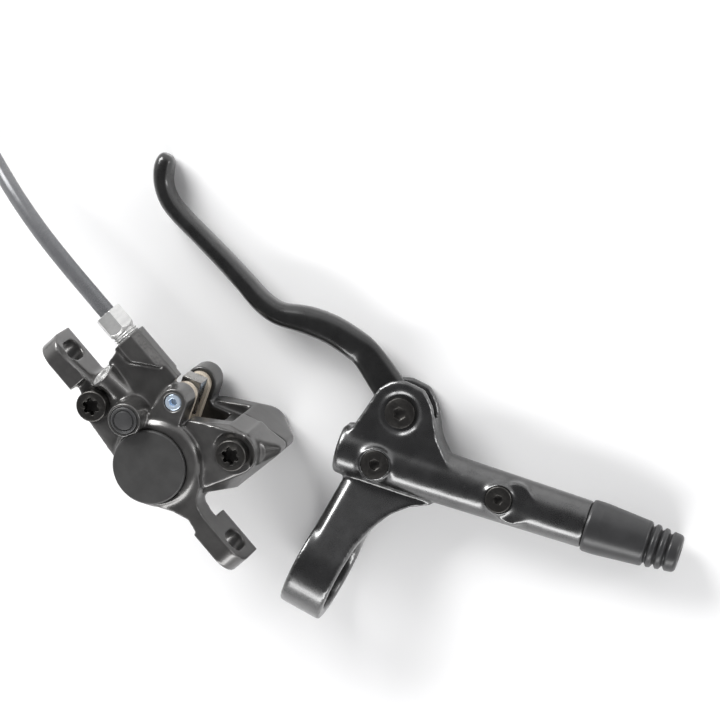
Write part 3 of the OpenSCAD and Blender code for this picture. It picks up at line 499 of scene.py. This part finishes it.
def grid_mesh(name, points, loop=False):
    """Quads over a grid of points (rows, columns, 3), closed along the columns. The first
    and last rows are capped, or joined to each other if loop."""
    rows, cols = points.shape[:2]
    i, j = np.meshgrid(
        np.arange(rows if loop else rows - 1), np.arange(cols), indexing="ij"
    )
    below, k = (i + 1) % rows, (j + 1) % cols
    quads = np.stack(
        [i * cols + j, i * cols + k, below * cols + k, below * cols + j], -1
    ).reshape(-1, 4)
    faces = [tuple(q) for q in quads.tolist()]
    if not loop:
        faces.append(tuple(range(cols - 1, -1, -1)))
        faces.append(tuple(range((rows - 1) * cols, rows * cols)))
    mesh = bpy.data.meshes.new(name)
    mesh.from_pydata(points.reshape(-1, 3).tolist(), [], faces)
    mesh.validate()
    work = bmesh.new()
    work.from_mesh(mesh)
    bmesh.ops.recalc_face_normals(work, faces=work.faces)
    work.to_mesh(mesh)
    work.free()
    mesh.shade_smooth()
    return mesh


def placed(points, matrix):
    """Points in millimetres moved by a matrix and turned into metres."""
    m = np.array(matrix)
    return (points @ m[:3, :3].T + m[:3, 3]) * MM


def turned_mesh(name, x, radius, matrix, sides=96):
    """A turned ring: circle i at x[i] along its axis with radius[i], the last joined to the
    first. The radius may also be a table with one value for each of the sides."""
    a = np.linspace(0, 2 * np.pi, sides, endpoint=False)
    r = np.broadcast_to(np.asarray(radius, float).reshape(len(x), -1), (len(x), sides))
    along = np.broadcast_to(np.asarray(x, float)[:, None], r.shape)
    points = np.stack([along, r * np.cos(a), r * np.sin(a)], -1)
    return grid_mesh(name, placed(points, matrix), loop=True)


def slab_mesh(name, plan, low, high, matrix):
    """A flat outline raised between two heights."""
    plan = np.array(plan, float)
    deep = [np.column_stack([plan, np.full(len(plan), z)]) for z in (low, high)]
    return grid_mesh(name, placed(np.stack(deep), matrix))


def joined_mesh(name, *meshes):
    """One mesh with the faces of several."""
    work = bmesh.new()
    for mesh in meshes:
        work.from_mesh(mesh)
    joined = bpy.data.meshes.new(name)
    work.to_mesh(joined)
    work.free()
    return joined


def solid_copy(node):
    """The CAD node's surface as one merged mesh."""
    work = bmesh.new()
    work.from_mesh(frame["nodes"][node].data)
    bmesh.ops.remove_doubles(work, verts=work.verts, dist=MERGE)
    mesh = bpy.data.meshes.new(node + "_copy")
    work.to_mesh(mesh)
    work.free()
    return mesh


def applied(obj):
    """The mesh of obj with its modifiers, which replaces obj."""
    graph = bpy.context.evaluated_depsgraph_get()
    mesh = bpy.data.meshes.new_from_object(obj.evaluated_get(graph))
    bpy.data.objects.remove(obj)
    return mesh


def soften(mesh, outer, hollow):
    """Rounds a dense mesh as a casting: each step moves every point part of the way to the
    middle of its neighbours, for a few steps on outer edges and for more in the hollows,
    so that the hollows fill to a fillet and the outer edges stay crisp."""
    count = len(mesh.vertices)
    at = np.empty(count * 3)
    mesh.vertices.foreach_get("co", at)
    at = at.reshape(-1, 3)
    ends = np.empty(len(mesh.edges) * 2, int)
    mesh.edges.foreach_get("vertices", ends)
    ends = ends.reshape(-1, 2)
    one = np.concatenate([ends[:, 0], ends[:, 1]])
    other = np.concatenate([ends[:, 1], ends[:, 0]])
    near = np.bincount(one, minlength=count)[:, None]
    normal = np.empty(count * 3)
    for step in range(hollow):
        if step % FACING_EVERY == 0:
            mesh.vertices.foreach_set("co", at.ravel())
            mesh.update()
            mesh.vertex_normals.foreach_get("vector", normal)
            out = normal.reshape(-1, 3)
        middle = np.stack([np.bincount(one, at[other, k], count) for k in range(3)], 1) / near
        pull = middle - at
        in_hollow = (pull * out).sum(1) > 0
        moved = np.where(in_hollow | (step < outer), 1.0, 0.0)[:, None]
        at = at + PULL_SHARE * pull * moved
    mesh.vertices.foreach_set("co", at.ravel())
    mesh.update()
    return mesh


def voxel_mesh(name, mesh, voxel):
    """The mesh's outer surface, joined and laid over with small even quads."""
    obj = new_object(name + "_work", mesh)
    remesh = obj.modifiers.new("voxels", "REMESH")
    remesh.mode = "VOXEL"
    remesh.voxel_size = voxel * MM
    return applied(obj)


def cast_piece(name, node, look, voxel):
    """A casting from a CAD node, with its edges run soft as a mould leaves them."""
    mesh = soften(voxel_mesh(name, solid_copy(node), voxel), CAST_OUTER, CAST_HOLLOW)
    mesh.shade_smooth()
    return add_piece(name, mesh, look, node)


def edged_piece(name, node, look, width):
    """A machined piece from a CAD node: flat faces dissolved, real edges broken with a
    small round that catches the light."""
    mesh = solid_copy(node)
    work = bmesh.new()
    work.from_mesh(mesh)
    bmesh.ops.dissolve_limit(
        work, angle_limit=math.radians(FLAT_ANGLE), verts=work.verts, edges=work.edges
    )
    work.to_mesh(mesh)
    work.free()
    obj = new_object(name + "_work", mesh)
    bevel = obj.modifiers.new("edges", "BEVEL")
    bevel.width = width * MM
    bevel.segments = BREAK_STEPS
    bevel.limit_method = "ANGLE"
    bevel.angle_limit = math.radians(BREAK_ANGLE)
    bevel.harden_normals = False
    done = applied(obj)
    done.shade_smooth()
    done.set_sharp_from_angle(angle=math.radians(SHARP_ANGLE))
    return add_piece(name, done, look, node)


# Hose

ROUTE = [(x, PORT_Y, z) for x, z in [
    (-37.0, 30), (-44, 30), (-58, 29.8), (-70, 28.6), (-82, 25.6), (-94, 20.8),
    (-106, 15), (-118, 9.6), (-130, 5.4), (-142, 3.6), (-155, 3.3),
]]
TAIL = [(x, -42.4, z) for x, z in [
    (-155, 8.3), (-147, 7.6), (-139, 5.6), (-131, 4.4), (-123, 4.0), (-115, 4.0),
]]
COIL = (-155.0, -7.8)
COIL_TURNS = 4.5
COIL_STEPS = 180
# Radius and height of the coil's middle line after so many turns
WIDE, MIDDLE, NARROW = 34.6, 29.6, 24.6
COIL_RADIUS = [
    (0, WIDE), (0.85, WIDE), (1.0, MIDDLE), (1.75, MIDDLE), (1.95, NARROW), (2.6, NARROW),
    (2.85, NARROW), (3.05, MIDDLE), (3.7, MIDDLE), (3.95, WIDE), (4.5, WIDE),
]
COIL_HEIGHT = [(0, 3.3), (2.2, 3.3), (2.6, 8.3), (4.5, 8.3)]


def spline(points, per_span=10):
    """Smooth line through points: on each span, the cubic that leaves and enters along
    the direction between a point's two neighbours."""
    p = np.array(points, float)
    p = np.vstack([2 * p[0] - p[1], p, 2 * p[-1] - p[-2]])
    t = np.linspace(0, 1, per_span, endpoint=False)[:, None]
    made = [
        0.5 * (2 * b + (c - a) * t + (2 * a - 5 * b + 4 * c - d) * t**2
               + (3 * b - 3 * c + d - a) * t**3)
        for a, b, c, d in zip(p[:-3], p[1:-2], p[2:-1], p[3:])
    ]
    return np.vstack([*made, p[-2:-1]])


def ease(t, table):
    """Value at t from a table of (t, value), with a smooth step from each row to the next."""
    x, y = np.array(table, float).T
    k = np.clip(np.searchsorted(x, t, side="right") - 1, 0, len(x) - 2)
    s = np.clip((t - x[k]) / (x[k + 1] - x[k]), 0, 1)
    return y[k] + (y[k + 1] - y[k]) * s * s * (3 - 2 * s)


def coil_line():
    """Turns of the coil: two and a quarter inwards on the bench, then as many outwards on
    top of them. The radius and the height change only within a short share of each turn."""
    turns = np.linspace(0, COIL_TURNS, COIL_STEPS + 1)[1:-1]
    angle = math.pi / 2 + turns * 2 * math.pi
    radius = ease(turns, COIL_RADIUS)
    x = COIL[0] + radius * np.cos(angle)
    y = COIL[1] + radius * np.sin(angle)
    return np.column_stack([x, y, ease(turns, COIL_HEIGHT)])


def tube_mesh(name, path, radius, sides=20):
    """A round tube along a path. Each ring is square to the path, with its first point
    carried along without twist."""
    step = np.gradient(path, axis=0)
    step /= np.linalg.norm(step, axis=1)[:, None]
    across = np.zeros_like(path)
    now = np.cross(step[0], [0, 0, 1])
    for i, d in enumerate(step):
        now = now - d * (now @ d)
        now = now / np.linalg.norm(now)
        across[i] = now
    over = np.cross(step, across)
    a = np.linspace(0, 2 * np.pi, sides, endpoint=False)[None, :, None]
    around = np.cos(a) * across[:, None] + np.sin(a) * over[:, None]
    rings = path[:, None] + radius * around
    return grid_mesh(name, rings * MM)


hose_line = np.vstack([spline(ROUTE), coil_line(), spline(TAIL)])
hose = add_piece(
    "brake_hose_tube", tube_mesh("brake_hose_tube", hose_line, HOSE_R), "hose",
    "brake_hose", "hose_coil",
)


# Return spring

SPRING_FROM = 35.6
SPRING_TO = 50.0
SPRING_R = 3.0
SPRING_TURNS = 5
STEPS_PER_TURN = 28
WIRE_R = 0.45
WIRE_SIDES = 10
WIRE_GAP = 0.3


def spring_piece():
    """Coil spring in the cylinder: x runs evenly while the wire turns at a steady radius."""
    low, high = SPRING_FROM + WIRE_GAP + WIRE_R, SPRING_TO - WIRE_GAP - WIRE_R
    t = np.linspace(0, 1, SPRING_TURNS * STEPS_PER_TURN + 1)
    a = 2 * np.pi * SPRING_TURNS * t
    line = np.column_stack([low + (high - low) * t, SPRING_R * np.cos(a), SPRING_R * np.sin(a)])
    line = placed(line, AT_CYLINDER) / MM
    mesh = tube_mesh("return_spring_coil", line, WIRE_R, WIRE_SIDES)
    piece = add_piece("return_spring_coil", mesh, "steel", "return_spring")
    ends = [AT_CYLINDER @ Vector((x, 0, 0)) for x in (SPRING_FROM, SPRING_TO)]
    tuple((ends[1] - ends[0]).normalized())
    tuple(ends[1] * MM)
    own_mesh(piece)


spring_piece()


# Nuts

NUT_FLATS = 8.0
NUT_LEN = 7.4
NUT_THREAD = 6.2
END_NUT_LEN = 4
END_NUT_THREAD = 4
# From the loose nut's face to the end of the hose
END_NUT_BACK = 9
THREAD_R = 3.95
THREAD_HALF_DEPTH = 0.16
THREAD_STEP = 0.07
PITCH = 0.8
# Undercut behind the hexagon
NECK_DEPTH = 0.35
NECK_LEN = 0.4
# Radius of the round at the free end, and how far it starts inside the corners
FACE_ROUND = 1.1
FACE_DROP = 0.62
# Cone at the threaded end
CONE_DROP = 1.05
CONE_SLOPE = 0.75
# More than any radius of the nut, so that it limits nothing
NO_LIMIT = 10
NUT_SHARP = 24


def hexagon(sides, flats):
    """Distance from the middle to a hexagon's edge, for each of the sides around."""
    a = np.linspace(0, 360, sides, endpoint=False)
    return flats / 2 / np.cos(np.radians(a % 60 - 30))


def nut_mesh(name, matrix, hex_len, thread_len, sides=144):
    """Hexagon with a rounded edge at its free end, a cone at the other, and a fine thread
    behind it. A ring's radius is the lesser of the hexagon's and the edge's; in the thread
    it swings by half a thread depth with the sine of 2 pi (x / pitch + turn). The bore
    closes the surface."""
    corner = NUT_FLATS / 2 / math.cos(math.radians(30))
    x = np.concatenate([np.linspace(0, hex_len, 60), [hex_len]])
    rise = np.sqrt(np.clip(FACE_ROUND**2 - (FACE_ROUND - x) ** 2, 0, None))
    face = corner - FACE_DROP + rise * (x < FACE_ROUND) + NO_LIMIT * (x >= FACE_ROUND)
    edge = np.minimum(face, corner - CONE_DROP + (hex_len - x) * CONE_SLOPE)
    rings = np.minimum(hexagon(sides, NUT_FLATS)[None], edge[:, None])
    rings[-1] = THREAD_R - NECK_DEPTH
    turn_share = np.linspace(0, 1, sides, endpoint=False)
    thread_x = hex_len + np.linspace(0, thread_len, int(thread_len / THREAD_STEP))[1:]
    swing = np.sin(2 * np.pi * (thread_x[:, None] / PITCH + turn_share))
    thread = THREAD_R - THREAD_HALF_DEPTH + THREAD_HALF_DEPTH * swing
    in_neck = thread_x[:, None] < hex_len + NECK_LEN
    thread = np.where(in_neck, THREAD_R - NECK_DEPTH, thread)
    ends = [hex_len + thread_len, hex_len + thread_len, 0, 0]
    bore = [THREAD_R - 0.5, HOSE_R + 0.06, HOSE_R + 0.06, corner - 1.1]
    bore_rings = np.repeat(np.array(bore)[:, None], sides, 1)
    return turned_mesh(
        name, np.concatenate([x, thread_x, ends]), np.vstack([rings, thread, bore_rings]),
        matrix, sides,
    )


def nut_piece(name, node, matrix, hex_len, thread_len):
    """A hexagon nut for a CAD node, with its free end at the matrix's origin."""
    mesh = nut_mesh(name, matrix, hex_len, thread_len)
    mesh.set_sharp_from_angle(angle=math.radians(NUT_SHARP))
    return add_piece(name, mesh, "nut", node)


nut_piece("hose_nut_hex", "hose_nut", move(*NUT_END), NUT_LEN, NUT_THREAD)

hose_end = TAIL[-1]
at_end_nut = move(hose_end[0] - END_NUT_BACK, hose_end[1], hose_end[2])
nut_piece("end_nut_hex", "hose_end_nut", at_end_nut, END_NUT_LEN, END_NUT_THREAD)
edged_piece("hose_tie_edged", "hose_tie", "tie", 0.25)
edged_piece("hose_end_stopper_edged", "hose_end_stopper", "stopper", 0.2)


# Boot

BODY_LEN = 77.6
BODY_R2 = 7.2
BOOT_LEN = 28.4
BOOT_R = 7.9
BOOT_END_R = 6.35
BOOT_STRAIGHT = 4
RIB = 2.7
GROOVES = 3
GROOVE_DEPTH = 1.15
GROOVE_WIDTH = 0.52
TIP_ROUND = 1.2
MOUTH_DROP = 0.4
# The bore over the cylinder's spigot, and the hose's way on from there
SPIGOT_LEN = 6.3
SPIGOT_R = BODY_R2 - 1.3
HOSE_WAY_R = HOSE_R + 0.1
BOOT_SHARP = 50


def boot_mesh():
    """Rubber boot: a gentle taper with three round grooves, each a bell curve taken off the
    radius, an eased mouth, a full round at the tip, and the bore behind."""
    tip_x = BOOT_LEN - TIP_ROUND * (1 - np.sin(np.linspace(0, np.pi / 2, 12)))
    x = np.concatenate([np.linspace(0, 1, 10), np.linspace(1.2, BOOT_LEN - 1.3, 150), tip_x])
    stations = [BOOT_STRAIGHT, BOOT_LEN - 4 * RIB, BOOT_LEN]
    taper = np.interp(x, stations, [BOOT_R, BOOT_END_R + 0.5, BOOT_END_R - 0.75])
    r = np.where(x < BOOT_STRAIGHT, BOOT_R, taper)
    r = r - MOUTH_DROP * (1 - np.clip(x, 0, 1)) ** 2
    for i in range(GROOVES):
        middle = BOOT_LEN - 3 * RIB - 1.3 + i * RIB
        r = r - GROOVE_DEPTH * np.exp(-(((x - middle) / GROOVE_WIDTH) ** 2))
    tip = np.clip((x - (BOOT_LEN - TIP_ROUND)) / TIP_ROUND, 0, 1)
    r = r - TIP_ROUND * (1 - np.sqrt(np.clip(1 - tip**2, 0, None)))
    inner_x = [BOOT_LEN, SPIGOT_LEN, SPIGOT_LEN, 0]
    inner_r = [HOSE_WAY_R, HOSE_WAY_R, SPIGOT_R, SPIGOT_R]
    return turned_mesh(
        "boot_ribbed", np.concatenate([x, inner_x]), np.concatenate([r, inner_r]),
        AT_CYLINDER @ move(BODY_LEN, 0),
    )


boot = boot_mesh()
boot.set_sharp_from_angle(angle=math.radians(BOOT_SHARP))
add_piece("boot_ribbed", boot, "boot", "hose_boot")


# Lever blade

# Middle line in the bar's frame, half thickness and half width, from tip to knuckle
BLADE = [
    (-97.9, 87.9, 1.5, 2.2), (-97.9, 86.6, 2.6, 3.6), (-97.4, 83.6, 3.0, 4.2),
    (-95.4, 79.4, 2.8, 4.4), (-91.6, 75.8, 2.8, 4.6), (-86.4, 73.4, 2.8, 4.8),
    (-78.0, 70.8, 2.8, 5.0), (-68.0, 67.6, 2.9, 5.0), (-60.0, 64.8, 3.0, 5.0),
    (-53.0, 62.2, 3.2, 5.0), (-46.4, 61.4, 3.5, 5.0), (-38.0, 63.6, 4.2, 5.0),
    (-30.0, 64.6, 4.4, 4.8), (-22.0, 64.0, 4.5, 4.2), (-17.0, 62.8, 4.6, 3.0),
    (-9.0, 58.6, 5.0, 3.0), (-4.6, 56.0, 5.0, 3.0),
]
# Power of the blade's rounded section: 2 is an ellipse, more is squarer
SQUARENESS = 2.6
BLADE_SIDES = 40
BLADE_VOXEL = 0.36
BLADE_OUTER = 5
BLADE_HOLLOW = 16
KNUCKLE_HALF = 3.0
KNUCKLE_R = 7.0
KNUCKLE_BORE_R = 4.05
TAIL_REACH = 15.7
TAIL_HALF = 2.6
TAIL_PLAN = [
    (4, -4.6), (2.6, -TAIL_REACH), (1.5, -TAIL_REACH - 1.9), (0.3, -TAIL_REACH - 2.3),
    (-0.9, -TAIL_REACH - 1.9), (-2, -TAIL_REACH), (-4, -4.6),
]
PIVOT = AT_CYLINDER @ move(15.5, TAIL_REACH)


def blade_sweep():
    """Sections |c|^2.6 + |s|^2.6 = 1 swept along the blade's smooth middle line."""
    line = spline(BLADE, 8)
    flow = np.gradient(line[:, :2], axis=0)
    flow /= np.linalg.norm(flow, axis=1)[:, None]
    a = np.linspace(0, 2 * np.pi, BLADE_SIDES, endpoint=False)
    c, s = np.cos(a), np.sin(a)
    e = (np.abs(c) ** SQUARENESS + np.abs(s) ** SQUARENESS) ** (-1 / SQUARENESS)
    side = line[:, 2:3] * (c * e)
    x = line[:, :1] + flow[:, 1:] * side
    y = line[:, 1:2] - flow[:, :1] * side
    z = line[:, 3:] * (s * e)
    return grid_mesh("sweep", placed(np.stack([x, y, z], -1), AT_BAR))


def blade_mesh():
    """The swept blade with its knuckle ring and the tail behind it, under one skin."""
    knuckle = turned_mesh(
        "knuckle", [-KNUCKLE_HALF, KNUCKLE_HALF, KNUCKLE_HALF, -KNUCKLE_HALF],
        [KNUCKLE_R, KNUCKLE_R, KNUCKLE_BORE_R, KNUCKLE_BORE_R], PIVOT @ turn(-90, "Y"),
    )
    tail = slab_mesh("tail", TAIL_PLAN, -TAIL_HALF, TAIL_HALF, PIVOT)
    mesh = joined_mesh("blade", blade_sweep(), knuckle, tail)
    return soften(voxel_mesh("blade", mesh, BLADE_VOXEL), BLADE_OUTER, BLADE_HOLLOW)


blade = blade_mesh()
blade.shade_smooth()
add_piece("blade_swept", blade, "blade", "lever_blade")


# Castings and machined pieces

CLAMP_HALF = 6.7
CLAMP_BORE_R = 11.1
LUG_END = 25.4
SPLIT_LOW = -4.1
SPLIT_HIGH = -2.9
# The filling stays this far inside the clamp's outer faces
FILL_INSET = 0.3
SAW_MORE = 0.02
SAW_PLAN = [(-20, 4), (20, 4), (20, 28), (-20, 28)]
LEVER_VOXEL = 0.44
LEVER_OUTER = 15
LEVER_HOLLOW = 24
LEVER_SHARP = 50


def lever_body():
    """Lever casting. The clamp's split is closed while the edges are run soft, and sawn
    through again after it, so that its walls stay flat."""
    side = CLAMP_HALF - FILL_INSET
    near, far = CLAMP_BORE_R + FILL_INSET, LUG_END - FILL_INSET
    plan = [(-side, near), (side, near), (side, far), (-side, far)]
    filling = slab_mesh("filling", plan, SPLIT_LOW, SPLIT_HIGH, AT_BAR)
    mesh = joined_mesh("lever_closed", solid_copy("master_cylinder_body"), filling)
    mesh = soften(voxel_mesh("lever_closed", mesh, LEVER_VOXEL), LEVER_OUTER, LEVER_HOLLOW)
    saw_mesh = slab_mesh("saw", SAW_PLAN, SPLIT_LOW - SAW_MORE, SPLIT_HIGH + SAW_MORE, AT_BAR)
    saw = new_object("saw", saw_mesh)
    obj = new_object("lever_work", mesh)
    cut = obj.modifiers.new("split", "BOOLEAN")
    cut.operation = "DIFFERENCE"
    cut.solver = "MANIFOLD"
    cut.object = saw
    mesh = applied(obj)
    bpy.data.objects.remove(saw)
    mesh.shade_smooth()
    mesh.set_sharp_from_angle(angle=math.radians(LEVER_SHARP))
    add_piece("lever_body", mesh, "body", "master_cylinder_body")


cast_piece("caliper_outer_half", "outboard_housing", "cast", voxel=0.36)
cast_piece("caliper_inner_half", "inboard_housing", "cast_back_painted_shade", voxel=0.42)
lever_body()

# Node, look and width of the broken edge
MACHINED = [
    ("bore_cap", "cap", 0.25), ("body_bolts", "oxide", 0.14), ("passage_plug", "nut", 0.1),
    ("bleed_cap", "rubber_cap", 0.16), ("pad_pin", "chrome", 0.15),
    ("outboard_pad_plate", "pad", 0.2), ("inboard_pad_plate", "pad", 0.2),
    ("outboard_pad_lining", "lining", 0.2), ("inboard_pad_lining", "lining", 0.2),
    ("pad_spring", "spring", 0.08), ("pivot_pin", "oxide", 0.14), ("reach_screw", "oxide", 0.12),
    ("bleed_screw", "oxide", 0.12), ("clamp_bolt", "oxide", 0.14),
]
for node_name, look_name, edge_width in MACHINED:
    edged_piece(node_name + "_edged", node_name, look_name, edge_width)


# Studio, in metres

BENCH_HALF = 3.0
BENCH_Z = -0.0001
BENCH_GREY = 0.96
# Height in the sky where its colour starts and ends to change
SKY_FROM = 0.30
SKY_TO = 0.82
SKY_BAND = (0.95, 0.95, 0.96)
SKY_OVERHEAD = (0.11, 0.11, 0.115)
# Name, direction in the picture's right, up and away, distance, size and power
LAMPS = [
    ("key", (-0.70, 0.72, 0.58), 0.9, (0.55, 0.36), 9.5),
    ("side", (0.97, 0.20, 0.42), 0.8, (0.16, 0.6), 2.0),
    ("low", (-0.15, -0.93, 0.40), 0.8, (0.9, 0.22), 4.5),
]


def make_floor():
    """A matt white bench just under the part."""
    mesh = bpy.data.meshes.new("bench")
    r, z = BENCH_HALF, BENCH_Z
    mesh.from_pydata([(-r, -r, z), (r, -r, z), (r, r, z), (-r, r, z)], [], [(0, 1, 2, 3)])
    floor = new_object("bench", mesh)
    look = Look("bench_white", Roughness=0.9, Specular_IOR_Level=0.0)
    look.base(grey(BENCH_GREY))
    mesh.materials.append(look.material)


def make_light(name, towards, distance, size, power):
    """A soft box aimed at the middle of the view, from a direction given in the picture's
    own right, up and away."""
    data = bpy.data.lights.new(name, "AREA")
    data.shape = "RECTANGLE"
    data.size, data.size_y = size
    data.energy = power
    lamp = new_object(name, data)
    direction = (towards[0] * RIGHT + towards[1] * UP + towards[2] * AWAY).normalized()
    lamp.location = CENTRE + direction * distance
    lamp.rotation_mode = "QUATERNION"
    lamp.rotation_quaternion = direction.to_track_quat("Z", "Y")


def make_world():
    """A studio tent by the sky's height: bright low down, dim overhead."""
    world = bpy.data.worlds.new("studio")
    scene.world = world
    world.use_nodes = True
    sky = Tree(world.node_tree)
    place = sky.node("ShaderNodeTexCoord", {}, {}).outputs["Generated"]
    height = Sum(sky, sky.node("ShaderNodeSeparateXYZ", {}, {0: place}).outputs["Z"])
    back = sky.tree.nodes["Background"]
    colour = sky.blend(height.step(SKY_FROM, SKY_TO), SKY_BAND, SKY_OVERHEAD)
    sky.put(back.inputs["Color"], colour)
    sky.put(back.inputs["Strength"], 1.0)


make_floor()
make_world()
for lamp_facts in LAMPS:
    make_light(*lamp_facts)

scene.view_settings.view_transform = "Standard"
